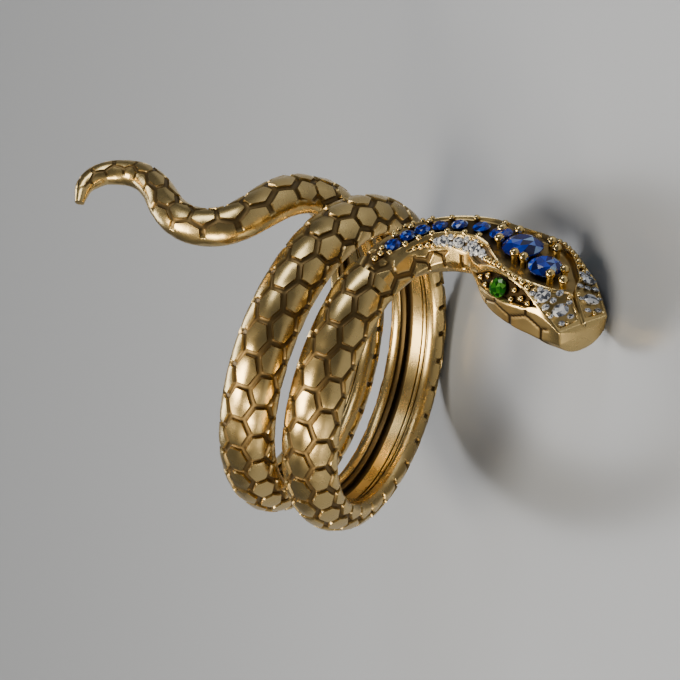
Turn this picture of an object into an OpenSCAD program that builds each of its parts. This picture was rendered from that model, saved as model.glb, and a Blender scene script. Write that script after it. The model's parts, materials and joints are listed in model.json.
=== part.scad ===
// Snake wrap ring: a gold snake wound twice round the finger, its tail and its
// jewelled head standing off to either side. The body is worked out round the
// finger's axis (X) and then laid down the way the loose ring comes to rest.
// A place along the snake is a plate number: 0 is the first whole plate behind
// the head, the numbers grow towards the tail and are negative in the head.

/* [Finger hole] */
// Diameter of the finger hole
bore_d = 17.3; // [14:0.1:22]
/* [Body] */
// Width of the body
body_w = 3.8; // [3:0.05:4.4]
// Thickness of the body, from the finger to its crest
body_t = 2.31; // [1.8:0.01:3]
// Height of the belly, from the finger up to the widest line
belly_t = 0.57; // [0.3:0.01:0.9]
// Width of the inner face that lies on the finger
inner_w = 2.66; // [2.2:0.02:3]
// Distance from one turn to the next
turn_pitch = 4.62; // [4:0.02:6]
/* [Inner channel] */
// Width of each rail beside the hollowed channel
rail_w = 0.33; // [0.2:0.01:0.4]
// Width of the step inside each rail
step_w = 0.3; // [0.15:0.01:0.4]
// Depth of the step
step_d = 0.18; // [0.1:0.01:0.3]
// Depth of the channel
channel_d = 0.5; // [0.35:0.01:0.7]
/* [Scales] */
// Plates in one turn of the body
plates_per_turn = 30.5; // [24:0.5:36]
// Angle round the body from one column of plates to the next
column_turn = 47; // [40:0.5:50]
// Width of the grooves between the plates
groove_w = 0.4; // [0.2:0.02:0.6]
// Depth of the grooves
groove_d = 0.24; // [0.1:0.01:0.35]
// Height of each plate's crown
crown_h = 0.05; // [0:0.01:0.12]
/* [Tail and head] */
// Reach of the tail along the finger
tail_reach = 13.2; // [8:0.1:18]
// Reach of the neck and head along the finger
head_reach = 15.95; // [13:0.05:20]
// Rise of the head's top above the body's crest
head_rise = 2.1; // [1:0.05:3]
// Width of the head
head_w = 6.4; // [5:0.05:8]
// Height of the head
head_h = 4.1; // [3.4:0.05:5]
/* [Stones] */
// Diameter of the largest sapphire
sapphire_a_d = 2.7; // [2:0.05:3]
// Diameter of the sapphire in front of it
sapphire_b_d = 2.2; // [1.6:0.05:2.4]
// Diameter of the sapphire behind it
sapphire_c_d = 1.5; // [1:0.05:1.7]
// Diameter of the small sapphires along the neck
small_d = 0.96; // [0.7:0.02:1.05]
// Diameter of the diamonds on the snout
snout_diamond_d = 0.9; // [0.7:0.02:1]
// Diameter of the diamonds along the neck
neck_diamond_d = 0.76; // [0.6:0.02:0.9]
// Diameter of the eyes
eye_d = 1.2; // [0.9:0.02:1.5]
// Clearance between a stone and its seat
seat_gap = 0.1; // [0.06:0.01:0.15]
// Diameter of the posts that hold the large sapphires
prong_d = 0.42; // [0.3:0.02:0.6]
// Diameter of the balls on the posts
prong_ball_d = 0.58; // [0.4:0.02:0.8]
// Diameter of the beads along the small sapphires
bead_d = 0.46; // [0.3:0.02:0.6]
/* [Rest] */
// Turns that lay the ring down as it rests, about X, then Y, then Z
rest_turn = [-73.5, 39.8, -109.5];

/* [Hidden] */
SAPPHIRES = 9;
// How far the inner face starts inside the finger hole, which then trims it
trim = 0.03;

bore_r = bore_d / 2;
crest_r = bore_r + body_t;
crest_t = body_t - belly_t;
plate_turn = 360 / plates_per_turn;
plate_l = 2 * PI * crest_r / plates_per_turn;
inset = 1 - groove_w / plate_l;

// The first plate's angle round the finger, from the top towards the front
first_turn = 37.25;

// The snake's way off the coil: plate, share of the reach along the finger,
// angle round the finger counted from the last whole turn, and height of the
// crest as a share
HEAD_WAY = [
    // plate, reach, angle, share of the head's rise
    [-11.2, 1.000, 18.2, 1.00],
    [-10, 0.852, 12.6, 0.95],
    [-9, 0.728, 8.0, 0.95],
    [-8, 0.605, 3.0, 0.96],
    [-7, 0.481, -2.0, 0.84],
    [-6, 0.357, -5.8, 0.68],
    [-5, 0.227, -5.2, 0.53],
    [-4, 0.124, -1.5, 0.34],
    [-3, 0.052, 5.3, 0.16],
    [-2, 0.010, 15.0, 0.03],
];
TAIL_WAY = [
    // plate, reach, angle, share of the body's thickness
    [56, 0.047, -24.0, 1.02],
    [57, 0.064, -11.4, 1.05],
    [58, 0.089, 3.0, 1.05],
    [59, 0.151, 13.6, 1.05],
    [60, 0.261, 19.0, 1.05],
    [61, 0.388, 19.4, 1.02],
    [62, 0.513, 14.6, 0.95],
    [63, 0.632, 6.6, 0.88],
    [64, 0.750, 1.0, 0.79],
    [65, 0.856, 0.5, 0.72],
    [66, 0.958, 5.0, 0.645],
    [67, 1.000, 13.0, 0.53],
    [68, 0.971, 22.6, 0.39],
];
// Whole turns of the coil before the tail leaves it
whole_turns = 2;
nose = HEAD_WAY[0][0];
tail_tip = last(TAIL_WAY)[0];
// Plates between which the body is a plain coil
coil_from = last(HEAD_WAY)[0] + 1;
coil_to = TAIL_WAY[0][0] - 1;
function last(t) = t[len(t) - 1];
function coil_row(k) = let (turn = first_turn + k * plate_turn)
    [k, -turn_pitch * turn / 360, turn, crest_r];
coil_end_x = coil_row(coil_to)[1];
head_way = concat(
    [for (r = HEAD_WAY) [r[0], r[1] * head_reach, r[2], crest_r + r[3] * head_rise]],
    [for (k = [coil_from:coil_from + 2]) coil_row(k)]);
tail_way = concat(
    [for (k = [coil_to - 2:coil_to]) coil_row(k)],
    [for (r = TAIL_WAY) [r[0], coil_end_x - r[1] * tail_reach, r[2] + 360 * whole_turns,
        bore_r + r[3] * body_t]]);

// The body's section: plate, then shares of the half width, of the crest's
// height, of that height again for the belly, and of the inner face's width,
// the angle between columns as a share, and how deep the channel is
SECTIONS = [
    [-3, 1.000, 1.000, 0.327, 1.00, 1.00, 0],
    [-1.5, 1.000, 1.000, 0.327, 1.00, 1.00, 0],
    [-0.5, 1.000, 1.000, 0.327, 1.00, 1.00, 1],
    [1, 1.000, 1.000, 0.327, 1.00, 1.00, 1],
    [53, 1.000, 1.000, 0.327, 1.00, 1.00, 1],
    [54.5, 0.980, 0.985, 0.330, 0.96, 1.01, 1],
    [55.5, 0.945, 0.968, 0.360, 0.87, 1.03, 0],
    [56, 0.924, 0.956, 0.377, 0.82, 1.04, 0],
    [58, 0.768, 0.805, 0.503, 0.41, 1.22, 0],
    [60, 0.676, 0.717, 0.579, 0.29, 1.28, 0],
    [62, 0.606, 0.629, 0.553, 0.25, 1.28, 0],
    [64, 0.491, 0.516, 0.490, 0.20, 1.28, 0],
    [66, 0.404, 0.421, 0.410, 0.15, 1.28, 0],
    [67, 0.335, 0.346, 0.346, 0.12, 1.28, 0],
    [68, 0.162, 0.176, 0.176, 0.08, 1.28, 0],
];
belly_share = belly_t / crest_t / SECTIONS[0][3];

// The head's section: plate, then each line's place across and down, as shares
// of the head's half width and height, and last the depth of the field's middle
LINES = ["field", "ridge", "outer", "lip", "jaw", "keel"];
HEAD = [
    // plate, field, ridge, outer ridge, lip, jaw, keel, middle
    [-10.92, 0.02, 0.44, 0.06, 0.42, 0.57, 0.43, 0.59, 0.45, 0.55, 0.68, 0.03, 0.94, 0.42],
    [-10.6, 0.02, 0.24, 0.06, 0.20, 0.62, 0.32, 0.66, 0.36, 0.64, 0.71, 0.07, 0.96, 0.24],
    [-10.3, 0.03, 0.12, 0.08, 0.01, 0.68, 0.23, 0.73, 0.31, 0.71, 0.74, 0.10, 0.98, 0.12],
    [-10.0, 0.26, 0.12, 0.31, 0.00, 0.73, 0.15, 0.79, 0.32, 0.77, 0.75, 0.14, 0.99, 0.12],
    [-9.5, 0.44, 0.13, 0.51, 0.00, 0.75, 0.07, 0.90, 0.37, 0.86, 0.78, 0.21, 1.00, 0.13],
    [-9.0, 0.59, 0.13, 0.65, 0.00, 0.80, 0.04, 0.98, 0.44, 0.92, 0.79, 0.27, 1.00, 0.13],
    [-8.5, 0.63, 0.13, 0.70, 0.00, 0.83, 0.05, 1.01, 0.49, 0.96, 0.79, 0.27, 1.00, 0.13],
    [-8.0, 0.62, 0.13, 0.68, 0.00, 0.83, 0.13, 1.00, 0.53, 0.96, 0.76, 0.27, 0.99, 0.13],
    [-7.5, 0.53, 0.12, 0.60, 0.00, 0.82, 0.24, 0.95, 0.55, 0.90, 0.71, 0.27, 0.94, 0.12],
    [-7.0, 0.40, 0.09, 0.47, 0.00, 0.77, 0.32, 0.83, 0.55, 0.80, 0.64, 0.27, 0.86, 0.09],
    [-6.5, 0.34, 0.07, 0.41, 0.00, 0.70, 0.31, 0.73, 0.51, 0.68, 0.60, 0.27, 0.80, 0.07],
    [-6.0, 0.31, 0.07, 0.37, 0.00, 0.62, 0.27, 0.65, 0.47, 0.60, 0.57, 0.31, 0.76, 0.07],
    [-5.0, 0.26, 0.05, 0.32, 0.00, 0.53, 0.20, 0.59, 0.43, 0.53, 0.56, 0.34, 0.72, 0.05],
    [-4.0, 0.22, 0.05, 0.27, 0.00, 0.46, 0.16, 0.57, 0.42, 0.52, 0.53, 0.38, 0.67, 0.05],
    [-3.0, 0.18, 0.04, 0.23, 0.01, 0.38, 0.11, 0.57, 0.41, 0.51, 0.52, 0.39, 0.62, 0.04],
    [-2.0, 0.12, 0.03, 0.16, 0.01, 0.39, 0.11, 0.58, 0.42, 0.51, 0.52, 0.39, 0.57, 0.03],
    [-1.3, 0.06, 0.09, 0.14, 0.10, 0.34, 0.20, 0.52, 0.42, 0.46, 0.47, 0.36, 0.50, 0.09],
];
function line(s, name) = let (i = search([name], LINES)[0])
    [s[2 * i + 1] * head_w / 2, -s[2 * i + 2] * head_h];
function middle(s) = -last(s) * head_h;
// Which way the head's top faces, the plate at which the body starts to turn
// that way, and the plates it takes
head_up = unit([0.07, -0.04, 1]);
head_up_from = -3;
head_up_over = 4;

// Stones: plate of each sapphire, and of each diamond with its share of the
// way from the inner to the outer ridge
SAPPHIRE_AT = [-2.66, -3.26, -3.83, -4.46, -5.14, -5.86, -6.72, -7.81, -8.98];
last_small_share = 1.12;
sapphire_d = [small_d, small_d, small_d, small_d, small_d, last_small_share * small_d,
    sapphire_c_d, sapphire_a_d, sapphire_b_d];
DIAMOND_AT = [[-4.62, 0.6], [-5.32, 0.6], [-6.0, 0.58], [-6.6, 0.55], [-9.97, 0.55], [-10.5, 0.55]];
diamond_d = [neck_diamond_d, neck_diamond_d, neck_diamond_d, neck_diamond_d,
    snout_diamond_d, snout_diamond_d];
// Plate of the eyes, and their share of the way from the outer ridge to the lip
EYE_AT = [-8.67, 0.56];
// Prongs: number of the sapphire, and angle round it from the nose
PRONGS = [[9, 38], [8, 40], [8, 140], [7, 90]];

// Smooth rows: a value and its slope are carried through the rows of a table
function unit(v) = v / norm(v);
function ease(x) = let (c = max(0, min(1, x))) c * c * (3 - 2 * c);
function slope(t, i) = let (a = max(i - 1, 0), b = min(i + 1, len(t) - 1))
    (t[b] - t[a]) / (t[b][0] - t[a][0]);
function rows(t, k) = let (
    i = max(0, min(len(t) - 2, len([for (r = t) if (r[0] <= k) 1]) - 1)),
    d = t[i + 1][0] - t[i][0], s = (k - t[i][0]) / d)
    (2 * s * s * s - 3 * s * s + 1) * t[i] + (s * s * s - 2 * s * s + s) * d * slope(t, i)
    + (3 * s * s - 2 * s * s * s) * t[i + 1] + (s * s * s - s * s) * d * slope(t, i + 1);

// The crest line, and the directions along, up from and across it
function way(k) = k < coil_from ? rows(head_way, k) : k > coil_to ? rows(tail_way, k) : coil_row(k);
function crest(k) = let (w = way(k)) [w[1], -w[3] * sin(w[2]), w[3] * cos(w[2])];
function along(k) = unit(crest(min(k + 0.05, tail_tip)) - crest(max(k - 0.05, nose)));
function up(k) = let (
    t = way(k)[2], m = ease((head_up_from - k) / head_up_over), a = along(k),
    u = (1 - m) * [0, -sin(t), cos(t)] + m * head_up)
    unit(u - (u * a) * a);
function frame(k) = let (u = up(k)) [crest(k), cross(u, along(k)), u];
function at(f, across, rise) = f[0] + across * f[1] + rise * f[2];

// Angle below the widest line over which the side comes round to the belly
belly_span = 40;
// A point of the body's skin: th is the angle round the section from the
// crest, down is the depth below the plates
function skin(k, th, down = 0) = let (
    s = rows(SECTIONS, k), a = abs(th),
    w = s[1] * body_w / 2, t = s[2] * crest_t, b = s[3] * crest_t * belly_share,
    r = s[4] * inner_w / 2, low = min(90, max(0, (a - 90) * 90 / belly_span)))
    a <= 90 ? at(frame(k), (w - down) * sin(th), (t - down) * cos(th) - t)
    : at(frame(k), sign(th) * (r + (w - r) * cos(low)), -t - b * sin(low));
// A point of the inner face, at a distance from its middle, lifted off the finger
function inner(k, across, lift) = let (s = rows(SECTIONS, k))
    at(frame(k), across * s[4], -s[2] * crest_t - s[3] * crest_t * belly_share + lift * s[6] - trim);
function column(k) = column_turn * rows(SECTIONS, k)[5];
function size_here(k) = min(1, rows(SECTIONS, k)[1]);
// How much of the outer columns' grooves is left: none on the tail
groove_fade = 2;
function outer_groove(k) = 1 - ease((k - coil_to) / groove_fade);

// The body as one skin of raised plates. Each pitch has a row through the
// plates' points, a row through their flat edges, the plates' inset corners
// and middles, and the belly.
from_plate = -1;
to_plate = tail_tip - 1;
pitches = to_plate - from_plate + 1;
// Angle from the side column on to the line along the belly
belly_turn = 65;
function edge_row(m) = let (k = m - 0.5, c = column(k), d = groove_d * size_here(k), g = outer_groove(k))
    concat([for (p = [[2, 0], [5 / 3, g], [1 / 3, 1], [-1 / 3, 1], [-5 / 3, g], [-2, 0]])
        skin(k, p[0] * c, p[1] * d)], under_row(k));
function under_row(k) = let (
    h = inner_w / 2, s = h - rail_w, f = s - step_w, belly = column(k) + belly_turn,
    side = [[h, 0], [s, 0], [s, step_d], [f, step_d], [f - 0.01, channel_d]])
    concat([skin(k, -belly)], [for (p = side) inner(k, -p[0], p[1])],
        [for (i = [4:-1:0]) inner(k, side[i][0], side[i][1])], [skin(k, belly)]);
EDGE = 18;
function point_row(m) = let (c = column(m), d = groove_d * size_here(m), g = outer_groove(m))
    [for (p = [[4 / 3, g], [2 / 3, 1], [-2 / 3, 1], [-4 / 3, g]]) skin(m, p[0] * c, p[1] * d)];
POINT = 4;
// A whole plate: its inset corners, then its middle
HEXAGON = [[-0.5, 1 / 3], [0, 2 / 3], [0.5, 1 / 3], [0.5, -1 / 3], [0, -2 / 3], [-0.5, -1 / 3]];
function plate(k, col) = concat(
    [for (p = HEXAGON) skin(k + inset * p[0], (col + inset * p[1]) * column(k), 0)],
    [skin(k, col * column(k), -crown_h * size_here(k))]);
PLATE = 7;
// An outer plate, open to the smooth side
OPEN = [[-0.5, 1 / 3], [0, 2 / 3], [0.5, 1 / 3]];
function open_plate(m, side) = concat(
    [for (p = OPEN) skin(m + inset * p[0], side * (2 - inset * p[1]) * column(m), 0)],
    [skin(m, side * 1.75 * column(m), 0)]);
OPEN_PLATE = 4;
PITCH = EDGE + POINT + 3 * PLATE + 2 * OPEN_PLATE;
function pitch_points(m) = concat(edge_row(m), point_row(m),
    plate(m, 0), plate(m + 0.5, 1), plate(m + 0.5, -1), open_plate(m, 1), open_plate(m, -1));

function loop_faces(ring, middle) = [for (i = [0:len(ring) - 1])
    [middle, ring[i], ring[(i + 1) % len(ring)]]];
function band_faces(a, b, close) = [for (i = [0:len(a) - (close ? 1 : 2)]) let (j = (i + 1) % len(a))
    each [[a[i], b[j], b[i]], [a[i], a[j], b[j]]]];
// A plate's sides go down to the six skin points round it
function plate_faces(outer, first) = let (top = [for (i = [0:5]) first + i])
    concat(band_faces(outer, top, true), loop_faces(top, first + 6));
function open_faces(side, outer, first) = let (
    ring = [first, first + 1, first + 2, outer[3], outer[4]],
    f = concat(band_faces([for (i = [0:2]) outer[i]], [for (i = [0:2]) first + i], false),
        [[outer[2], outer[3], first + 2], [outer[0], first, outer[4]]],
        loop_faces(ring, first + 3)))
    side < 0 ? f : [for (t = f) [t[0], t[2], t[1]]];
function pitch_faces(i) = let (
    o = i * PITCH, n = o + PITCH, p = o + EDGE, q = n + EDGE,
    first = p + POINT)
    concat(
        plate_faces([o + 2, p + 1, n + 2, n + 3, p + 2, o + 3], first),
        i == pitches - 1
        ? [[p, n + 2, p + 1], [p, n + 1, n + 2], [p + 3, n + 3, n + 4], [p + 3, p + 2, n + 3]]
        : concat(plate_faces([p, n + 1, q, q + 1, n + 2, p + 1], first + PLATE),
            plate_faces([p + 2, n + 3, q + 2, q + 3, n + 4, p + 3], first + 2 * PLATE)),
        open_faces(1, [o + 1, p, n + 1, n, o], first + 3 * PLATE),
        open_faces(-1, [o + 4, p + 3, n + 4, n + 5, o + 5], first + 3 * PLATE + OPEN_PLATE),
        band_faces(concat([o], [for (j = [EDGE - 1:-1:5]) o + j]),
            concat([n], [for (j = [EDGE - 1:-1:5]) n + j]), false));
coil_points = concat([for (m = [from_plate:to_plate]) each pitch_points(m)], edge_row(to_plate + 1));
module coil_skin() {
    tail_row = pitches * PITCH;
    head_end = [for (i = [0:EDGE - 1]) i];
    tail_end = [for (i = [EDGE - 1:-1:0]) tail_row + i];
    polyhedron(points = coil_points, faces = concat(
        [head_end, tail_end],
        [[1, EDGE, EDGE + 1], [1, EDGE + 1, 2], [3, EDGE + 2, EDGE + 3], [3, EDGE + 3, 4]],
        [for (i = [0:pitches - 1]) each pitch_faces(i)]));
}
// The head and neck: a closed ring of points at each step along the table
HEAD_STEPS = 32;
head_from = HEAD[0][0];
head_to = last(HEAD)[0];
function head_ring(k) = let (
    f = frame(k), s = rows(HEAD, k),
    side = [for (name = LINES) line(s, name)])
    concat([for (i = [len(side) - 1:-1:0]) at(f, -side[i][0], side[i][1])], [at(f, 0, middle(s))],
        [for (p = side) at(f, p[0], p[1])]);
head_points = [for (i = [0:HEAD_STEPS])
    each head_ring(head_from + (head_to - head_from) * i / HEAD_STEPS)];
module head_skin() {
    n = len(head_points) / (HEAD_STEPS + 1);
    function ring(i) = [for (j = [0:n - 1]) i * n + j];
    polyhedron(points = head_points, faces = concat(
        [[for (j = [n - 1:-1:0]) j], ring(HEAD_STEPS)],
        [for (i = [0:HEAD_STEPS - 1]) each band_faces(ring(i), ring(i + 1), true)]));
}

// A seat on the head: a point on a line of its section, the way out of the
// skin there, and the way back along the body
function seat(k, from, to, share, side) = let (
    f = frame(k), s = rows(HEAD, k), a = line(s, from), b = line(s, to),
    p = a + share * (b - a), n = unit([a[1] - b[1], b[0] - a[0]]),
    out = side * n[0] * f[1] + n[1] * f[2], t = along(k))
    [at(f, side * p[0], p[1]), out, unit(t - (t * out) * out)];
function sapphire_seat(i) = let (k = SAPPHIRE_AT[i - 1], f = frame(k))
    [at(f, 0, -girdle_drop), f[2], along(k)];
function diamond_seat(i, side) =
    seat(DIAMOND_AT[i - 1][0], "ridge", "outer", DIAMOND_AT[i - 1][1], side);
function eye_seat(side) = seat(EYE_AT[0], "outer", "lip", EYE_AT[1], side);
// Draws a thing in its seat, its Z pointing out of the skin, its X to the nose
module seated(s) {
    y = cross(s[1], -s[2]);
    multmatrix([for (i = [0:2]) [-s[2][i], y[i], s[1][i], s[0][i]]]) children();
}

// Cut stones: a flat table, a crown, a thin girdle and a pointed pavilion
table_share = 0.56;
crown_share = 0.16;
girdle_share = 0.04;
pavilion_share = 0.43;
// Depth of a sapphire's girdle below the crest line
girdle_drop = 0.05;
STONE_SIDES = 12;
module stone(d) {
    cylinder(h = crown_share * d, d1 = d, d2 = table_share * d, $fn = STONE_SIDES);
    translate([0, 0, -girdle_share * d]) cylinder(h = girdle_share * d, d = d, $fn = STONE_SIDES);
    translate([0, 0, -pavilion_share * d])
        cylinder(h = (pavilion_share - girdle_share) * d, d1 = 0, d2 = d, $fn = STONE_SIDES);
}
// The pocket that a stone of this size sits in: it follows the pavilion at the
// seat's clearance, and opens straight upwards above it
module pocket(d) {
    fall = 2 * (pavilion_share - girdle_share);
    r = d / 2 + seat_gap;
    tip = -pavilion_share * d - seat_gap * sqrt(1 + fall * fall);
    translate([0, 0, tip]) cylinder(h = fall * r, r1 = 0, r2 = r, $fn = STONE_SIDES);
    translate([0, 0, tip + fall * r])
        cylinder(h = crown_share * d + seat_gap - tip - fall * r, r = r, $fn = STONE_SIDES);
}
module sapphire(i) color("navy") seated(sapphire_seat(i)) stone(sapphire_d[i - 1]);
module diamond(i, side) color("white") seated(diamond_seat(i, side)) stone(diamond_d[i - 1]);
module eye(side) color("green") seated(eye_seat(side)) stone(eye_d);
module pockets() {
    for (i = [1:SAPPHIRES]) seated(sapphire_seat(i)) pocket(sapphire_d[i - 1]);
    for (side = [-1, 1]) {
        for (i = [1:len(DIAMOND_AT)]) seated(diamond_seat(i, side)) pocket(diamond_d[i - 1]);
        seated(eye_seat(side)) pocket(eye_d);
    }
}
// A post with a ball on it, rooted in the metal beside its stone
module prong(d, turn, root) rotate(turn) translate([d / 2 + seat_gap + prong_ball_d / 2, 0, 0]) {
    translate([0, 0, crown_share * d / 2]) sphere(d = prong_ball_d, $fn = 24);
    translate([0, 0, -root]) cylinder(h = root + crown_share * d / 2, d = prong_d, $fn = 24);
}
module prongs() for (p = PRONGS, side = [-1, 1])
    seated(sapphire_seat(p[0])) prong(sapphire_d[p[0] - 1], side * p[1],
        prong_d - middle(rows(HEAD, SAPPHIRE_AT[p[0] - 1])));
// A bead on each inner ridge between one small stone and the next
module beads() for (i = [0:5], side = [-1, 1])
    seated(seat((SAPPHIRE_AT[i] + SAPPHIRE_AT[i + 1]) / 2, "ridge", "outer", 0, side))
        sphere(d = bead_d, $fn = 24);
module snake_body() color("gold") difference() {
    union() {
        coil_skin();
        difference() {
            union() {
                head_skin();
                prongs();
                beads();
            }
            pockets();
        }
    }
    rotate([0, 90, 0]) cylinder(h = 4 * tail_reach, r = bore_r, center = true, $fn = 96);
}

// Lays the ring down: turned as it rests, its lowest point on the ground and
// the middle of its outline over the origin
function about_x(a) = [[1, 0, 0], [0, cos(a), -sin(a)], [0, sin(a), cos(a)]];
function about_y(a) = [[cos(a), 0, sin(a)], [0, 1, 0], [-sin(a), 0, cos(a)]];
function about_z(a) = [[cos(a), -sin(a), 0], [sin(a), cos(a), 0], [0, 0, 1]];
turned = about_z(rest_turn[2]) * about_y(rest_turn[1]) * about_x(rest_turn[0]);
outline = [for (p = concat(coil_points, head_points)) turned * p];
low = [for (i = [0:2]) min([for (p = outline) p[i]])];
high = [for (i = [0:2]) max([for (p = outline) p[i]])];
module laid_down() translate([-(low[0] + high[0]) / 2, -(low[1] + high[1]) / 2, -low[2]])
    rotate(rest_turn) children();
laid_down() snake_body();
for (i = [1:SAPPHIRES])
    laid_down() sapphire(i);
for (i = [1:len(DIAMOND_AT)]) {
    laid_down() diamond(i, 1);
    laid_down() diamond(i, -1);
}
laid_down() eye(1);  // eye_near
laid_down() eye(-1);  // eye_far
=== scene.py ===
"""A gold snake wrap ring lying as it rests on a pale floor.

All shapes are worked out round the finger's axis (X) in millimetres, with a
place along the snake given as a plate number, and then laid down by the same
turns as the solid model.
"""
import json

import bpy
import numpy as np
from mathutils import Matrix


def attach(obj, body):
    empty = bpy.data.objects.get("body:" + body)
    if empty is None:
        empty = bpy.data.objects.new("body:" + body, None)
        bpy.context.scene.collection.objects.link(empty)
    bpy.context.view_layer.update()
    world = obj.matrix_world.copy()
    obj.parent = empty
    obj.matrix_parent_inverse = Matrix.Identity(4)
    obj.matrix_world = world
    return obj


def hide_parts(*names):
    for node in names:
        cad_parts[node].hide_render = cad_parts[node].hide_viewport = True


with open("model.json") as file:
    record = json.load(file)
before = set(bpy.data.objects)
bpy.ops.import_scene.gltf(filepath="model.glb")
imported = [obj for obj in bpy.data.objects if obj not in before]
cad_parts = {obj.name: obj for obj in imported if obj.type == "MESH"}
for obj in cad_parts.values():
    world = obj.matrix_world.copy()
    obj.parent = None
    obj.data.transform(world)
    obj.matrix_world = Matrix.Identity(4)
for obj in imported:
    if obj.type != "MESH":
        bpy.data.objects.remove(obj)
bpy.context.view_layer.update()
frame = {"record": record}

# Named sizes, millimetres and degrees
BORE_R = 8.65
BODY_W = 3.8
BODY_T = 2.31
BELLY_T = 0.57
INNER_W = 2.66
TURN_PITCH = 4.62
RAIL_W, STEP_W, STEP_D, CHANNEL_D = 0.33, 0.30, 0.18, 0.50
PLATES_PER_TURN = 30.5
COLUMN_TURN = 47.0
GROOVE_D = 0.24
CROWN_H = 0.035
PLATE_SLOPE = 0.035
TAIL_REACH = 13.2
HEAD_REACH = 15.95
HEAD_RISE = 2.1
HEAD_W = 6.4
HEAD_H = 4.1
BEAD_D = 0.46
PRONG_D = 0.46
PRONG_BALL_D = 0.66
REST_TURN = (-73.5, 39.8, -109.5)

CREST_R = BORE_R + BODY_T
CREST_T = BODY_T - BELLY_T
PLATE_TURN = 360 / PLATES_PER_TURN
PLATE_L = 2 * np.pi * CREST_R / PLATES_PER_TURN
COLUMN_L = 1.49
FIRST_TURN = 37.25
COIL_FROM, COIL_TO, TAIL_TIP, HEAD_TIP = -1, 55, 68, -11.2
SLOPE_STEP = 0.05       # plates before and after a place that its direction is taken from
BELLY_FROM, BELLY_TO = 90, 130      # degrees round the section from the crest
MM = 0.001

# Rows that a cubic is carried through: plate, share of the reach along the
# finger, degrees round it, and share of the rise
HEAD_WAY = np.array([
    [-11.2, 1.000, 18.2, 1.00], [-10, 0.852, 12.6, 0.95], [-9, 0.728, 8.0, 0.95],
    [-8, 0.605, 3.0, 0.96], [-7, 0.481, -2.0, 0.84], [-6, 0.357, -5.8, 0.68],
    [-5, 0.227, -5.2, 0.53], [-4, 0.124, -1.5, 0.34], [-3, 0.052, 5.3, 0.16],
    [-2, 0.010, 15.0, 0.03]])
TAIL_WAY = np.array([
    [56, 0.047, -24.0, 1.02], [57, 0.064, -11.4, 1.05], [58, 0.089, 3.0, 1.05],
    [59, 0.151, 13.6, 1.05], [60, 0.261, 19.0, 1.05], [61, 0.388, 19.4, 1.02],
    [62, 0.513, 14.6, 0.95], [63, 0.632, 6.6, 0.88], [64, 0.750, 1.0, 0.79],
    [65, 0.856, 0.5, 0.72], [66, 0.958, 5.0, 0.645], [67, 1.000, 13.0, 0.53],
    [68, 0.971, 22.6, 0.39]])
# Section of the body: plate, then shares of the half width, crest height,
# belly height, inner face, column angle and channel depth
SECTIONS = np.array([
    [-3, 1.000, 1.000, 0.327, 1.00, 1.00, 0], [-1.5, 1.000, 1.000, 0.327, 1.00, 1.00, 0],
    [-0.5, 1.000, 1.000, 0.327, 1.00, 1.00, 1], [1, 1.000, 1.000, 0.327, 1.00, 1.00, 1],
    [53, 1.000, 1.000, 0.327, 1.00, 1.00, 1], [54.5, 0.980, 0.985, 0.330, 0.96, 1.01, 1],
    [55.5, 0.945, 0.968, 0.360, 0.87, 1.03, 0], [56, 0.924, 0.956, 0.377, 0.82, 1.04, 0],
    [58, 0.768, 0.805, 0.503, 0.41, 1.22, 0], [60, 0.676, 0.717, 0.579, 0.29, 1.28, 0],
    [62, 0.606, 0.629, 0.553, 0.25, 1.28, 0], [64, 0.491, 0.516, 0.490, 0.20, 1.28, 0],
    [66, 0.404, 0.421, 0.410, 0.15, 1.28, 0], [67, 0.335, 0.346, 0.346, 0.12, 1.28, 0],
    [68, 0.162, 0.176, 0.176, 0.08, 1.28, 0]])
BELLY_ROW = 0.327
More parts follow.
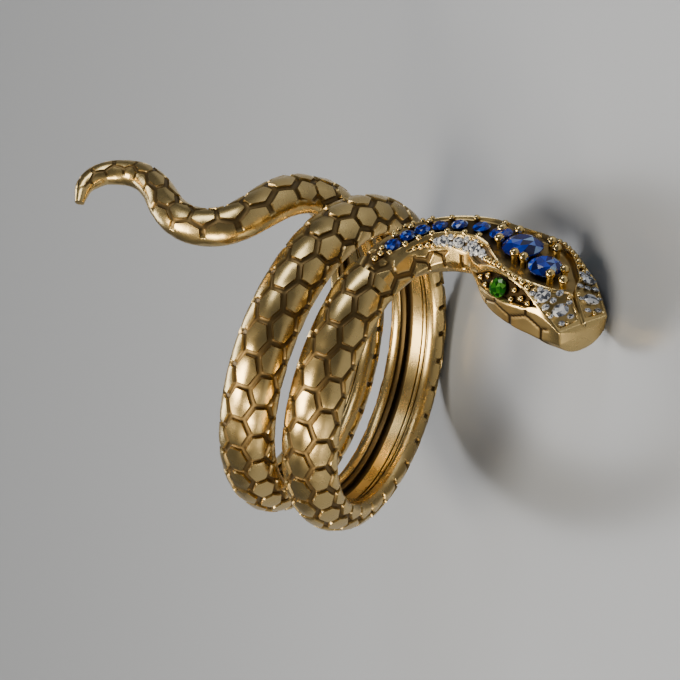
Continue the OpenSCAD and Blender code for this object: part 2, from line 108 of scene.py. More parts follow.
# Section of the head: plate, then across and down pairs as shares of the half
# width and height for the lines named below it, and the depth of the middle
HEAD = np.array([
    [-10.92, 0.02, 0.44, 0.06, 0.42, 0.57, 0.43, 0.59, 0.45, 0.55, 0.68, 0.03, 0.94, 0.42],
    [-10.6, 0.02, 0.24, 0.06, 0.20, 0.62, 0.32, 0.66, 0.36, 0.64, 0.71, 0.07, 0.96, 0.24],
    [-10.3, 0.03, 0.12, 0.08, 0.01, 0.68, 0.23, 0.73, 0.31, 0.71, 0.74, 0.10, 0.98, 0.12],
    [-10.0, 0.26, 0.12, 0.31, 0.00, 0.73, 0.15, 0.79, 0.32, 0.77, 0.75, 0.14, 0.99, 0.12],
    [-9.5, 0.44, 0.13, 0.51, 0.00, 0.75, 0.07, 0.90, 0.37, 0.86, 0.78, 0.21, 1.00, 0.13],
    [-9.0, 0.59, 0.13, 0.65, 0.00, 0.80, 0.04, 0.98, 0.44, 0.92, 0.79, 0.27, 1.00, 0.13],
    [-8.5, 0.63, 0.13, 0.70, 0.00, 0.83, 0.05, 1.01, 0.49, 0.96, 0.79, 0.27, 1.00, 0.13],
    [-8.0, 0.62, 0.13, 0.68, 0.00, 0.83, 0.13, 1.00, 0.53, 0.96, 0.76, 0.27, 0.99, 0.13],
    [-7.5, 0.53, 0.12, 0.60, 0.00, 0.82, 0.24, 0.95, 0.55, 0.90, 0.71, 0.27, 0.94, 0.12],
    [-7.0, 0.40, 0.09, 0.47, 0.00, 0.77, 0.32, 0.83, 0.55, 0.80, 0.64, 0.27, 0.86, 0.09],
    [-6.5, 0.34, 0.07, 0.41, 0.00, 0.70, 0.31, 0.73, 0.51, 0.68, 0.60, 0.27, 0.80, 0.07],
    [-6.0, 0.31, 0.07, 0.37, 0.00, 0.62, 0.27, 0.65, 0.47, 0.60, 0.57, 0.31, 0.76, 0.07],
    [-5.0, 0.26, 0.05, 0.32, 0.00, 0.53, 0.20, 0.59, 0.43, 0.53, 0.56, 0.34, 0.72, 0.05],
    [-4.0, 0.22, 0.05, 0.27, 0.00, 0.46, 0.16, 0.57, 0.42, 0.52, 0.53, 0.38, 0.67, 0.05],
    [-3.0, 0.18, 0.04, 0.23, 0.01, 0.38, 0.11, 0.57, 0.41, 0.51, 0.52, 0.39, 0.62, 0.04],
    [-2.0, 0.06, 0.02, 0.10, 0.01, 0.39, 0.11, 0.58, 0.42, 0.51, 0.52, 0.39, 0.57, 0.02],
    [-1.3, 0.01, 0.01, 0.03, 0.01, 0.40, 0.118, 0.585, 0.425, 0.50, 0.52, 0.39, 0.56, 0.01]])
FIELD, RIDGE, OUTER, LIP, JAW, KEEL, MIDDLE = 0, 2, 4, 6, 8, 10, 12     # their columns
HEAD_UP = np.array([0.07, -0.04, 1.0]) / np.linalg.norm([0.07, -0.04, 1.0])
HEAD_TURNS_UP = -3, 4       # plate, and plates that the turn takes

SAPPHIRE_AT = [-2.66, -3.26, -3.83, -4.46, -5.14, -5.86, -6.72, -7.81, -8.98]
SAPPHIRE_D = [1.04, 1.04, 1.04, 1.06, 1.08, 1.2, 1.55, 2.7, 2.2]
GIRDLE_DROP = 0.05
# Plate, share of the way from the inner to the outer ridge, and diameter
DIAMONDS = [[-4.62, 0.60, 0.76], [-5.32, 0.60, 0.76], [-6.0, 0.58, 0.76], [-6.6, 0.55, 0.76],
            [-9.97, 0.53, 1.10], [-10.5, 0.53, 1.15]]
EYE_AT, EYE_SHARE, EYE_D = -8.67, 0.56, 1.28
EYE_TIP_UP, EYE_TIP_AHEAD, EYE_STAND = 0.3, 0.25, 0.08


def ease(x):
    """A smooth rise from 0 to 1 as x goes from 0 to 1: three times its square
    less twice its cube."""
    c = np.clip(x, 0, 1)
    return c * c * (3 - 2 * c)


def within(x, width, fade):
    """1 up to a width, then a smooth fall to 0."""
    return 1 - ease((x - width) / fade)


def past(k, start, over):
    """A smooth rise from 0 at plate `start` to 1 at `over` plates nearer the
    nose; a negative `over` rises towards the tail."""
    return ease((start - k) / over)


def unit(v):
    """Vectors of length 1 along the last axis."""
    return v / np.linalg.norm(v, axis=-1, keepdims=True)


def rows(table, k):
    """The cubic through a table's rows at plate k, with each row's slope taken
    from the rows before and after it; the first column is left off."""
    t, v = table[:, 0], table[:, 1:]
    m = np.empty_like(v)
    m[1:-1] = (v[2:] - v[:-2]) / (t[2:] - t[:-2])[:, None]
    m[0] = (v[1] - v[0]) / (t[1] - t[0])
    m[-1] = (v[-1] - v[-2]) / (t[-1] - t[-2])
    k = np.asarray(k, float)
    i = np.clip(np.searchsorted(t, k, side="right") - 1, 0, len(t) - 2)
    d = (t[i + 1] - t[i])[..., None]
    s = (k - t[i])[..., None] / d
    return ((2 * s**3 - 3 * s**2 + 1) * v[i] + (s**3 - 2 * s**2 + s) * d * m[i]
            + (3 * s**2 - 2 * s**3) * v[i + 1] + (s**3 - s**2) * d * m[i + 1])


def coil_row(k):
    """Place along the finger, turn round it and radius on the plain coil: the
    turn grows evenly with the plate number, and the place with the turn."""
    k = np.asarray(k, float)
    turn = FIRST_TURN + k * PLATE_TURN
    return np.stack([-TURN_PITCH * turn / 360, turn, np.full_like(turn, CREST_R)], -1)


def way_table(table, coil, reach, turn, base, height, first):
    """A way's rows with its shares made into a place along the finger from
    `first`, a turn round it and a radius from `base`, and beside them the
    coil's own rows at the plates `coil`."""
    own = np.column_stack([table[:, 0], first + table[:, 1] * reach, table[:, 2] + turn,
                           base + table[:, 3] * height])
    plain = np.column_stack([coil, coil_row(coil)])
    both = np.vstack([own, plain])
    return both[np.argsort(both[:, 0])]


HEAD_TABLE = way_table(HEAD_WAY, np.arange(-1, 2), HEAD_REACH, 0, CREST_R, HEAD_RISE, 0)
TAIL_TABLE = way_table(TAIL_WAY, np.arange(53, 56), -TAIL_REACH, 720, BORE_R, BODY_T,
                       coil_row(COIL_TO)[0])


def way(k):
    """Place, turn and radius of the crest line at plate k."""
    k = np.asarray(k, float)
    out = coil_row(k)
    out = np.where((k < COIL_FROM)[..., None], rows(HEAD_TABLE, k), out)
    return np.where((k > COIL_TO)[..., None], rows(TAIL_TABLE, k), out)


def crest(k):
    """The crest line as points: its radius straight up, turned round the
    finger's axis."""
    w = way(k)
    a = np.radians(w[..., 1])
    return np.stack([w[..., 0], -w[..., 2] * np.sin(a), w[..., 2] * np.cos(a)], -1)


def body_frame(k):
    """Crest point, direction across and direction up at plate k. Up is out from
    the finger on the coil and the head's own on the head, less its part along
    the crest line; across is square to both."""
    k = np.asarray(k, float)
    after, before = np.minimum(k + SLOPE_STEP, TAIL_TIP), np.maximum(k - SLOPE_STEP, HEAD_TIP)
    ahead = unit(crest(after) - crest(before))
    a = np.radians(way(k)[..., 1])
    m = past(k, *HEAD_TURNS_UP)[..., None]
    out = np.stack([0 * a, -np.sin(a), np.cos(a)], -1)
    u = (1 - m) * out + m * HEAD_UP
    u = unit(u - (u * ahead).sum(-1, keepdims=True) * ahead)
    return crest(k), np.cross(u, ahead), u


def at(place, across, rise):
    """Points in a body frame: its crest point, a distance across and one up."""
    across, rise = np.asarray(across)[..., None], np.asarray(rise)[..., None]
    return place[0] + across * place[1] + rise * place[2]


def rest_matrix():
    """The turns that lay the ring down: about X, then Y, then Z."""
    x, y, z = np.radians(REST_TURN)
    rx = np.array([[1, 0, 0], [0, np.cos(x), -np.sin(x)], [0, np.sin(x), np.cos(x)]])
    ry = np.array([[np.cos(y), 0, np.sin(y)], [0, 1, 0], [-np.sin(y), 0, np.cos(y)]])
    rz = np.array([[np.cos(z), -np.sin(z), 0], [np.sin(z), np.cos(z), 0], [0, 0, 1]])
    return rz @ ry @ rx


LAY = rest_matrix()
HOLE = np.array(frame["record"]["mounts"][0]["pos_m"])
HOLE_MIDDLE = np.array([-TURN_PITCH, 0, 0])     # halfway along the two turns


def laid_down(points):
    """Finger-axis millimetres to metres as the ring lies at rest: turned, then
    moved so that the finger hole stands where the record has it."""
    return np.asarray(points) @ LAY.T * MM + (HOLE - LAY @ HOLE_MIDDLE * MM)


def add_mesh(name, points, faces, attributes, finish, replaced=(), sharp=38, smooth=True):
    """One object from points (finger-axis millimetres) and faces, with its place
    in its mesh, values on its points or faces for the materials, and, where it
    is smooth, creases past an angle."""
    mesh = bpy.data.meshes.new(name)
    mesh.from_pydata(laid_down(points), [], faces)
    for label, domain, values in attributes:
        layer = mesh.attributes.new(label, "FLOAT", domain)
        layer.data.foreach_set("value", np.asarray(values, np.float32))
    mesh.polygons.foreach_set("use_smooth", np.full(len(mesh.polygons), smooth))
    if smooth:
        mesh.set_sharp_from_angle(angle=np.radians(sharp))
    mesh.update()
    piece = bpy.data.objects.new(name, mesh)
    bpy.context.scene.collection.objects.link(piece)
    piece.data.materials.append(finish)
    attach(piece, "root")
    if replaced:
        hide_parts(*replaced)


def tube_faces(count, around):
    """Quads of a tube of `count` rings of `around` points."""
    i, j = np.meshgrid(np.arange(count - 1), np.arange(around), indexing="ij")
    n = (j + 1) % around
    return np.stack([i * around + j, i * around + n,
                     (i + 1) * around + n, (i + 1) * around + j], -1).reshape(-1, 4)


def fan_faces(ring, middle, turned_round):
    """Triangles from a ring of point numbers to a middle point."""
    ring = np.asarray(ring)
    tri = np.column_stack([ring, np.roll(ring, -1), np.full(len(ring), middle)])
    return tri[:, ::-1] if turned_round else tri


def add_tube(name, ring, patina_and_shade, ends, finish, replaced=()):
    """A tube piece from rings of points with a value each of patina and painted
    shade, closed by a fan to a point of its own at either end."""
    count, around = ring.shape[:2]
    first, total = np.arange(around), count * around
    faces = tube_faces(count, around)[:, ::-1].tolist()
    faces += fan_faces(first, total, False).tolist()
    faces += fan_faces(total - around + first, total + 1, True).tolist()
    add_mesh(name, np.vstack([ring.reshape(-1, 3), ends]), faces,
             [("patina_and_shade", "POINT", np.append(patina_and_shade.ravel(), [0, 0]))], finish, replaced)


# The body: grid lines run round the section at offsets from the plates' flat
# edges, and along it at offsets from the zigzag edges between the columns
GROOVE_LINES = np.array([0, 0.13, 0.18, 0.225])     # distance from a groove's middle
GROOVE_SHAPE = np.array([1.00, 1.00, 0.85, 0.00])   # depth there, as a share
GROOVE_DARK = np.array([0.85, 0.93, 0.93, 0.00])
HALF_PLATE = PLATE_L / 2
PLATE_LINES = [0.42, 0.71]                          # two more over a plate
FLAT_LINES = np.concatenate([GROOVE_LINES, PLATE_LINES, HALF_PLATE - GROOVE_LINES[:0:-1]]) / PLATE_L
SLANT = np.hypot(HALF_PLATE, COLUMN_L / 3) / HALF_PLATE
CROWN_FROM, CROWN_OVER = 0.23, 0.50                 # distances from a groove's middle
TILT_FROM, TILT_OVER = 0.20, 0.15
# Degrees round the section: where the grooves end, how much sooner they do on
# the tail, how gently, and the first of the belly's lines with their shares
GROOVE_END, GROOVE_END_BACK, GROOVE_FADE = 97, 30, 5
BELLY_LINE_FROM, BELLY_LINES = 94, np.array([0.15, 0.40, 0.70, 0.93])
# Plates: the plain tip and how soon it is plain, the rings with grooves and the
# last rings, and how far the end point stands out
PLAIN_TIP = 67.3, -0.2
TAIL_STARTS = COIL_TO, -2
BODY_RINGS, TIP_RINGS = (-1.5, 67.8), [67.9, 67.97, TAIL_TIP]
TIP_POINT = 0.02
# Lines cut along the channel: half widths at their bottom and top, and depths
FINE_LOW, FINE_TOP = 0.03, 0.06
STEP_LINE_D, FLOOR_LINE_D, FLOOR_DROP = 0.06, 0.05, 0.02


def edge_distance(k, v):
    """Distance, in millimetres on a plain plate, from the nearest edge of the
    six-sided plates: k is the plate number and v the column. Both are folded
    into a cell of half a plate, and the least distance from the five straight
    edges there is taken."""
    x = np.abs(k - np.round(k)) * PLATE_L
    y = np.abs(v) * COLUMN_L
    h, c = HALF_PLATE, COLUMN_L / 3
    edges = [((h, 0), (h, c)), ((h, c), (0, 2 * c)), ((0, 2 * c), (0, 4 * c)),
             ((0, 4 * c), (h, 5 * c)), ((h, 5 * c), (h, 9 * c))]
    best = np.full(np.broadcast(x, y).shape, np.inf)
    for (x0, y0), (x1, y1) in edges:
        dx, dy = x1 - x0, y1 - y0
        s = np.clip(((x - x0) * dx + (y - y0) * dy) / (dx * dx + dy * dy), 0, 1)
        best = np.minimum(best, np.hypot(x - x0 - s * dx, y - y0 - s * dy))
    return best


def groove(distance):
    """A groove's depth, as a share, and its patina at a distance from its
    middle, both straight between the groove's lines."""
    return (np.interp(distance, GROOVE_LINES, GROOVE_SHAPE),
            np.interp(distance, GROOVE_LINES, GROOVE_DARK))


def plate_tilt(k, v):
    """Height, in millimetres, that each six-sided plate's own small tilt adds at
    plate k and column v: the nearest plate's middle gives two slopes, each a
    sine of its plate and column numbers."""
    column = np.round(v)
    middle = np.where(np.abs(column) % 2 == 1, np.floor(k) + 0.5, np.round(k))
    seed = middle * 7.13 + column * 3.71
    along, over = (k - middle) * PLATE_L, (v - column) * COLUMN_L
    return PLATE_SLOPE * (np.sin(seed * 2.4) * along + np.sin(seed * 5.1) * over)


def skin(k, th, down):
    """The body's skin at plate k and th degrees round the section from the
    crest, `down` millimetres below its full size: a half ellipse above the
    widest line, a quarter ellipse below it."""
    s = rows(SECTIONS, k)
    w, t = s[..., 0] * BODY_W / 2, s[..., 1] * CREST_T
    b, r = s[..., 2] * BELLY_T / BELLY_ROW, s[..., 3] * INNER_W / 2
    a = np.radians(th)
    low = np.radians(np.clip((np.abs(th) - BELLY_FROM) * 90 / (BELLY_TO - BELLY_FROM), 0, 90))
    top = np.abs(th) <= BELLY_FROM
    across = np.where(top, (w - down) * np.sin(a),
                      np.sign(th) * (r + (w - r - down) * np.cos(low)))
    rise = np.where(top, (t - down) * np.cos(a) - t, -t - b * np.sin(low))
    return at(body_frame(k), across, rise)


def body_lines(k):
    """Column numbers, from the crest outwards, of the lines along the body at
    plate k: two zigzags between the columns, each a third of a column high and
    one plate long, the offsets of both, and lines over the plates."""
    zig = 1 / 3 + np.abs(2 * np.abs(k - np.round(k)) - 1) / 3
    off = GROOVE_LINES * SLANT / COLUMN_L
    wide = off[-1]
    lines = [0 * k, (zig - wide) / 2]
    lines += [zig - o for o in off[::-1]] + [zig + o for o in off[1:]]
    side = 2 - 2 * zig - 2 * wide
    lines += [zig + wide + side * share for share in (0.33, 0.67)]
    far = 2 - zig
    lines += [far - o for o in off[::-1]] + [far + o for o in off[1:]]
    lines += [(far + wide + 2) / 2, 0 * k + 2]
    return np.stack(lines, -1)


def fine_line(middle, level, deep):
    """The four points of a line cut along the channel: place, depth, patina."""
    return [[middle + FINE_TOP, level, 0], [middle + FINE_LOW, level + deep, 1],
            [middle - FINE_LOW, level + deep, 1], [middle - FINE_TOP, level, 0]]


def channel_profile():
    """The finger's side as rows of place across, depth below the belly, and
    darkness, from the head's side to the tail's: rail, step and channel floor,
    each of the last two with a fine line in it, then the dark foot of the far
    wall, its step and the other rail. The dark bands on the walls and the far
    wall's wide dark foot and step are painted shade of the walls, with some
    patina; the fine lines' dark is patina."""
    half = INNER_W / 2
    step = half - RAIL_W
    floor = step - STEP_W
    base = CHANNEL_D + FLOOR_DROP
    return np.array([
        [half - 0.05, 0, 0], [step + 0.06, 0, 0], [step + 0.02, 0.03, 1], [step - 0.05, STEP_D, 1],
        [step - 0.08, STEP_D, 0], *fine_line((step + floor) / 2, STEP_D, STEP_LINE_D),
        [floor + 0.05, STEP_D, 0], [floor + 0.01, STEP_D + 0.04, 1], [floor - 0.03, CHANNEL_D, 1],
        [floor - 0.07, base, 0], *fine_line(floor - 0.30, base, FLOOR_LINE_D),
        [floor - 0.60, base, 0], [0.42 - floor, base, 0], [0.36 - floor, base, 0.95],
        [0.10 - floor, base, 1], [0.01 - floor, CHANNEL_D, 1], [-floor, STEP_D + 0.04, 0.8],
        [-step, STEP_D, 0.93], [-step - 0.01, 0.03, 0.9], [-step - 0.05, 0, 0],
        [0.05 - half, 0, 0]])


def make_body(finish):
    """The coiled body and tail: a tube of rings along the plates. Each ring
    goes over the raised plates, round the belly and through the hollowed
    channel on the finger's side. Depth below the plates follows the distance
    from the plates' edges; the grooves end a little below the widest line."""
    k = (np.arange(-2, TAIL_TIP)[:, None] + np.concatenate([FLAT_LINES, FLAT_LINES + 0.5])).ravel()
    k = k[(k >= BODY_RINGS[0] - 1e-9) & (k <= BODY_RINGS[1])]
    k = np.append(k, TIP_RINGS)[:, None]
    s = rows(SECTIONS, k[:, 0])
    size = np.minimum(1, s[:, :1])
    column = COLUMN_TURN * s[:, 4:5]
    end = GROOVE_END - GROOVE_END_BACK * past(k, *TAIL_STARTS)

    def grooved(angle):
        """How much of the grooves is left at an angle round the section."""
        return (1 - past(k, *PLAIN_TIP)) * within(angle, end, GROOVE_FADE)

    v = body_lines(k[:, 0])
    th = v * column
    distance = edge_distance(k, v)
    shape, dark = groove(distance)
    crown = CROWN_H * ease((distance - CROWN_FROM) / CROWN_OVER)
    tilt = plate_tilt(k, v) * ease((distance - TILT_FROM) / TILT_OVER)
    down = size * grooved(th) * (GROOVE_D * shape - crown - tilt)
    dark = grooved(th) * dark

    start = np.maximum(BELLY_LINE_FROM, th[:, -1:])
    belly = start + (BELLY_TO - start) * BELLY_LINES
    shape, belly_dark = groove(edge_distance(k, belly / column))
    belly_down = size * grooved(belly) * GROOVE_D * shape
    belly_dark = grooved(belly) * belly_dark

    # the channel's dark is painted shade on its walls and under the far wall, and patina in its fine
    # lines
    across, depth, channel_dark = channel_profile().T
    belly_level = -s[:, 1:2] * CREST_T - s[:, 2:3] * BELLY_T / BELLY_ROW
    inner = at(body_frame(k), across * s[:, 3:4], belly_level + depth * s[:, 5:6])
    channel_dark = channel_dark * np.clip(s[:, 5:6], 0, 1)

    ring = np.concatenate([skin(k, th, down), skin(k, belly, belly_down), inner,
                           skin(k, -belly, belly_down)[:, ::-1], skin(k, -th, down)[:, :0:-1]], 1)
    patina_and_shade = np.concatenate([dark, belly_dark, channel_dark, belly_dark[:, ::-1], dark[:, :0:-1]], 1)
    onward = unit(crest(TAIL_TIP) - crest(TAIL_TIP - 0.1))
    ends = np.stack([ring[0].mean(0), ring[-1].mean(0) + TIP_POINT * onward])
    add_tube("coiled_body", ring, patina_and_shade, ends, finish, ["snake_body"])


# The head: grid lines lie at set distances inside each band between two of the
# section's lines, with more lines spread over what is left of the band
MUZZLE, NECK_END, HEAD_STEP = -10.92, -1.3, 0.0296
# Changes along the head: plate, and how many plates each takes towards the nose
FIELD_STARTS, LARGE_STONES, SNOUT_LINE = (-1.45, 0.2), (-6.9, 1.0), (-10.22, 0.08)
BAND_STARTS, BAND_ENDS, SNOUT_BAND = (-2.75, 0.25), (-10.86, -0.06), (-9.5, 0.3)
BODY_PLATES_END, SEAT_ENDS, SEAT_STARTS = (-2.05, 0.25), (-2.75, -0.3), (-1.5, 0.15)
RIDGE_PARTS, NECK_PLATES_END, SIDE_CLEARS = (-2.9, -0.3), (-6.2, -0.4), (-2.2, -0.25)
JAW_STARTS, JAW_ENDS, CHIN_STARTS = (-6.3, 0.3), (-10.7, -0.2), (-9.2, 1.2)
CHEEK, SNOUT = (-7.6, -1.2), (-10.1, 0.3)
# Depths and heights, and the widths of a sunk band's wall and shoulder
BAND_D, ALMOND_D, SNOUT_LINE_D, JAW_LINE_D = 0.14, 0.30, 0.08, 0.04
NECK_GROOVE_D, START_GROOVE_D = 0.18, 0.20
CHIN_SWELL, MUZZLE_DOME = 0.28, 0.3
WALL_W, WALL_FOOT, SHOULDER_W, SNOUT_LINE_W = 0.05, 0.06, 0.14, 0.03
SHOULDER, NECK_MORE, SNOUT_LESS = 0.27, 0.13, 0.16  # from the inner ridge to the band
# Darkness of the gold: the field's floor (patina, with painted shade round the
# stones), the snout's line, the inner ridge's inner half, the stone band, the
# skin beside the field where it starts, and the jaw (painted shade over all of
# it) with its lines
FLOOR_DARK, FLOOR_LIGHTER, SNOUT_LINE_DARK, RIDGE_DARK = 0.97, 0.45, 0.9, 0.6
BAND_DARK, BAND_LIGHTER, SEAT_DARK = 0.93, 0.6, 0.95
JAW_PAINTED_SHADE, JAW_LINE_DARK = 0.3, 0.69
# From a band's first line: the dark skin beside the field, and how far the
# neck's grooves stay clear of the outer ridge, each with its fade
SEAT_W, CLEAR_W = (0.10, 0.08), (0.26, 0.06)
# The jaw's scales: factor and shift of the plate number, the same of the share
# across and the columns in a band, and half width and fade of line and patina
JAW_ALONG, JAW_OVER, JAW_COLUMNS = (0.9, 0.3), (0.9, 0.1), 1.15
JAW_LINE_W, JAW_SHADE_W = (0.04, 0.12), (0.08, 0.1)
CHEEK_BAND, JAW_BAND, CHIN_BAND = 3, 4, 5   # numbers of the bands below the outer ridge
RIDGE_ROUNDED, RIDGE_TURN = 0.5, 0.35       # share, and least turn in radians
DOME_RINGS = np.array([0.05, 0.25, 0.5, 0.72, 0.86, 0.94, 0.985])
ALMOND_ENDS, ALMOND_WALL, ALMOND_SHADE = (-10.1, -6.45), 0.10, 0.06
# The almond's two lines: plate, and share of the way from the outer ridge to the lip
EYE_LOW = np.array([[-10.10, 0.30], [-9.73, 0.84], [-9.36, 0.88], [-8.87, 0.90], [-8.16, 0.90],
                    [-7.4, 0.88], [-6.87, 0.86], [-6.45, 0.85]])
EYE_HIGH = np.array([[-10.10, 0.24], [-9.86, 0.15], [-9.35, 0.07], [-8.92, 0.06], [-8.37, 0.14],
                     [-7.63, 0.20], [-7.2, 0.38], [-6.8, 0.64], [-6.45, 0.84]])


def band_lines(width, near, far, spread):
    """Distances from a band's first line: the near ones, evenly spread ones, and
    the far ones taken back from its second line; all shrink in a narrow band."""
    near = np.broadcast_to(near, (len(width), np.shape(near)[-1]))
    far = np.broadcast_to(far, (len(width), np.shape(far)[-1]))
    fit = np.minimum(1, width / (near[:, -1] + far[:, 0] + 0.1))[:, None]
    a, b = near * fit, width[:, None] - far * fit
    gap = (b[:, :1] - a[:, -1:]) / (spread + 1)
    return np.concatenate([a, a[:, -1:] + gap * np.arange(1, spread + 1), b], 1)


def field_relief(k, x):
    """Between the middle and the field's edge: a floor that is dark along the
    neck and lighter under the large stones, its dark being patina with painted
    shade round the stones, and a line down the snout."""
    snout = past(k, *SNOUT_LINE)
    floor = (FLOOR_DARK - FLOOR_LIGHTER * past(k, *LARGE_STONES)) * past(k, *FIELD_STARTS)
    sunk = SNOUT_LINE_D * snout * np.clip((WALL_W - x) / WALL_W, 0, 1)
    return sunk, np.maximum(floor * (1 - snout), SNOUT_LINE_DARK * snout * (x < SNOUT_LINE_W))


def ridge_relief(k, x, w):
    """The inner ridge: its inner half is dark, and all of it where it starts."""
    share = np.maximum(past(k, *RIDGE_PARTS), RIDGE_DARK * (x < 0.5 * w))
    return 0 * x, FLOOR_DARK * past(k, *FIELD_STARTS) * share


def stone_band_relief(k, x, w, shoulder, reach):
    """The sunk band of the small stones, dark on the neck and lighter on the
    snout; behind it the body's plates run out beside the dark field."""
    band = (past(k, *BAND_STARTS) * past(k, *BAND_ENDS)
            * np.clip((x - shoulder + WALL_W) / WALL_W, 0, 1)
            * np.clip((w - x - SHOULDER_W) / WALL_W, 0, 1))
    shape, shade = groove(edge_distance(k, reach / COLUMN_L))
    plates = 1 - past(k, *BODY_PLATES_END)
    seat = past(k, *SEAT_ENDS) * past(k, *SEAT_STARTS) * within(x, *SEAT_W)
    dark = np.maximum((BAND_DARK - BAND_LIGHTER * past(k, *SNOUT_BAND)) * band, plates * shade)
    return BAND_D * band + START_GROOVE_D * plates * shape, np.maximum(dark, SEAT_DARK * seat)


def almond_relief(k, share, w):
    """The almond sunk round the eye, between two lines given as shares: its
    wall falls with the distance inside the nearer line."""
    low = np.interp(k, EYE_LOW[:, 0], EYE_LOW[:, 1])
    high = np.interp(k, EYE_HIGH[:, 0], EYE_HIGH[:, 1])
    between = (k > ALMOND_ENDS[0]) & (k < ALMOND_ENDS[1])
    almond = np.minimum(share - high, low - share) * w * between
    return ALMOND_D * np.clip(almond / ALMOND_WALL, 0, 1), np.clip(almond / ALMOND_SHADE, 0, 1)


def side_relief(band, k, x, w, reach):
    """Below the outer ridge: the eye's almond, the neck's plates, the jaw's
    scales with their fine lines and painted shade over the whole jaw, and the
    chin's swell, a parabola across."""
    share = x / w
    sunk, dark = almond_relief(k, share, w) if band == CHEEK_BAND else (0 * x, 0 * x)
    clear = 1 - within(x, *CLEAR_W) if band == CHEEK_BAND else 1
    if band in (CHEEK_BAND, JAW_BAND):
        shape, shade = groove(edge_distance(k, reach / COLUMN_L))
        neck = past(k, *NECK_PLATES_END) * np.maximum(clear, past(k, *SIDE_CLEARS))
        sunk, dark = sunk + NECK_GROOVE_D * neck * shape, np.maximum(dark, neck * shade)
    if band in (JAW_BAND, CHIN_BAND):
        # the jaw's scales are the body's plates, a little larger and in rows of their own
        over = share * JAW_OVER[0] + JAW_OVER[1] + (band - JAW_BAND)
        edge = edge_distance(k * JAW_ALONG[0] + JAW_ALONG[1], over * JAW_COLUMNS)
        jaw = past(k, *JAW_STARTS) * past(k, *JAW_ENDS)
        sunk = sunk + JAW_LINE_D * jaw * within(edge, *JAW_LINE_W)
        # the whole jaw is darkened as painted shade, and its fine lines more
        dark = np.maximum(dark, jaw * (JAW_PAINTED_SHADE + JAW_LINE_DARK * within(edge, *JAW_SHADE_W)))
    if band == CHIN_BAND:
        sunk = sunk - CHIN_SWELL * past(k, *CHIN_STARTS) * 4 * share * (1 - share)
    return sunk, dark


def make_head(finish):
    """The head and neck: a tube whose section runs through the middle, field
    edge, inner ridge, outer ridge, lip, jaw and keel. Each band between two of
    them is sunk along its normal by its own relief, and the muzzle is closed
    by a low dome."""
    k = np.arange(MUZZLE, NECK_END + 1e-6, HEAD_STEP)
    kk = k[:, None]
    s = rows(HEAD, k)
    line = [(s[:, j] * HEAD_W / 2, -s[:, j + 1] * HEAD_H) for j in
            (FIELD, RIDGE, OUTER, LIP, JAW, KEEL)]
    line = [(0 * k, -s[:, MIDDLE] * HEAD_H)] + line + [(0 * k, line[-1][1])]
    shoulder = SHOULDER + NECK_MORE * past(k, *CHEEK) - SNOUT_LESS * past(k, *SNOUT)
    walls = np.stack([0 * k, 0 * k + WALL_W, shoulder - WALL_W, shoulder, shoulder + WALL_FOOT], 1)
    # near and far distances of each band's grid lines, and how many lie between
    grid = [([0, 0.03, 0.06], [0.05], 4), ([0], [0.04], 2), (walls, [0.25, 0.19, 0.14, 0.05], 10),
            ([0, 0.05, 0.12], [0.12, 0.05], 17), ([0, 0.05], [0.05], 13), ([0, 0.05], [0.05], 10),
            ([0], [0.2], 2)]
    across, rise, patina_and_shade, reach = [], [], [], 0 * kk
    for band, (near, far, spread) in enumerate(grid):
        a, b = np.stack(line[band], 1), np.stack(line[band + 1], 1)
        width = np.maximum(np.linalg.norm(b - a, axis=1), 1e-4)
        w = width[:, None]
        way_out = (b - a) / w
        x = band_lines(width, near, far, spread)
        if band == 0:
            sunk, dark = field_relief(kk, x)
        elif band == 1:
            sunk, dark = ridge_relief(kk, x, w)
        elif band == 2:
            sunk, dark = stone_band_relief(kk, x, w, shoulder[:, None], reach + x)
        else:
            sunk, dark = side_relief(band, kk, x, w, reach + x)
        across.append(a[:, :1] + x * way_out[:, :1] + sunk * way_out[:, 1:])
        rise.append(a[:, 1:] + x * way_out[:, 1:] - sunk * way_out[:, :1])
        patina_and_shade.append(dark)
        reach = reach + w
    across, rise, patina_and_shade = (np.concatenate(v, 1) for v in (across, rise, patina_and_shade))
    # each ridge is rounded by a share of its neighbours' mean
    slope = np.arctan2(np.diff(rise, axis=1), np.diff(across, axis=1))
    turns = np.abs(np.diff(slope, axis=1)) > RIDGE_TURN
    for form in (across, rise):
        mean = (form[:, :-2] + form[:, 2:]) / 2
        rounded = (1 - RIDGE_ROUNDED) * form[:, 1:-1] + RIDGE_ROUNDED * mean
        form[:, 1:-1] = np.where(turns, rounded, form[:, 1:-1])
    f = body_frame(kk)
    ring = np.concatenate([at(f, across, rise), at(f, 0 * kk, line[-1][1][:, None]),
                           at(f, -across[:, :0:-1], rise[:, :0:-1])], 1)
    patina_and_shade = np.concatenate([patina_and_shade, 0 * kk, patina_and_shade[:, :0:-1]], 1)
    # the muzzle: rings that shrink towards its middle and swell forwards
    share = DOME_RINGS[:, None, None]
    middle = ring[0].mean(0)
    swell = MUZZLE_DOME * unit(crest(MUZZLE) - crest(MUZZLE + 0.12))
    dome = middle + share * (ring[0] - middle) + np.sqrt(1 - share**2) * swell
    ends = np.stack([middle + swell, ring[-1].mean(0)])
    add_tube("head_and_neck", np.concatenate([dome, ring]),
             np.concatenate([np.zeros(dome.shape[:2]), patina_and_shade]), ends, finish)


